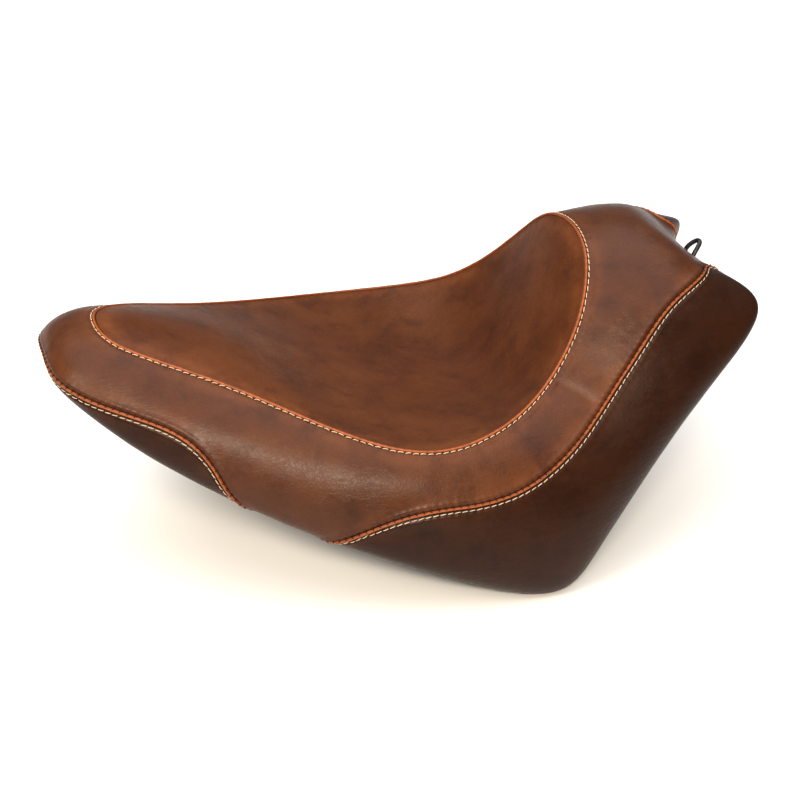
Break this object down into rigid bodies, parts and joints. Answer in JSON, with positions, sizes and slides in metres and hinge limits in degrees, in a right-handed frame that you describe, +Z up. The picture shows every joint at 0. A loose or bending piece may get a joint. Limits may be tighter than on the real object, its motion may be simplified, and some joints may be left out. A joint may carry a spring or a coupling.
{
  "type": "motorcycle seat",
  "caption": "Solo cruiser seat: deep bucket with a raised rear bolster, piped leather panels over foam on an arched pan, with a front tongue and a rear rod loop.",
  "frame": {"origin": "under the middle of the seat's length and width, at the height of the lowest point of its side skirts", "axes": "+X to the rear of the motorcycle, +Y to the rider's right, +Z up, with the seat in its riding attitude"},
  "size_m": [0.5704, 0.368, 0.24],
  "materials": {
    "leather": "satin brown pull-up leather, rubbed and mottled",
    "piping": "orange-brown leather piping, rubbed",
    "foam": "moulded polyurethane foam",
    "pan_plastic": "moulded, fine grain",
    "zinc_steel": "zinc plated",
    "black_steel": "satin black",
    "rubber": "matte",
    "felt": "dense felt"
  },
  "bodies": {
    "root": {"cover_insert": "leather", "cover_band": "leather", "cover_front_skirt": "leather", "cover_rear_left": "leather", "cover_rear_right": "leather", "welt_insert": "piping", "welt_front": "piping", "welt_rear_left": "piping", "welt_rear_right": "piping", "foam_bucket": "foam", "seat_pan": "pan_plastic", "front_tongue": "zinc_steel", "tongue_rivet_front_left": "zinc_steel", "tongue_rivet_front_right": "zinc_steel", "tongue_rivet_rear_left": "zinc_steel", "tongue_rivet_rear_right": "zinc_steel", "rear_loop_plate": "zinc_steel", "loop_rivet_left": "zinc_steel", "loop_rivet_right": "zinc_steel", "rear_loop": "black_steel", "buffer_front_left": "rubber", "buffer_front_right": "rubber", "buffer_rear_left": "rubber", "buffer_rear_right": "rubber", "fender_pad": "felt"}
  },
  "joints": []
}
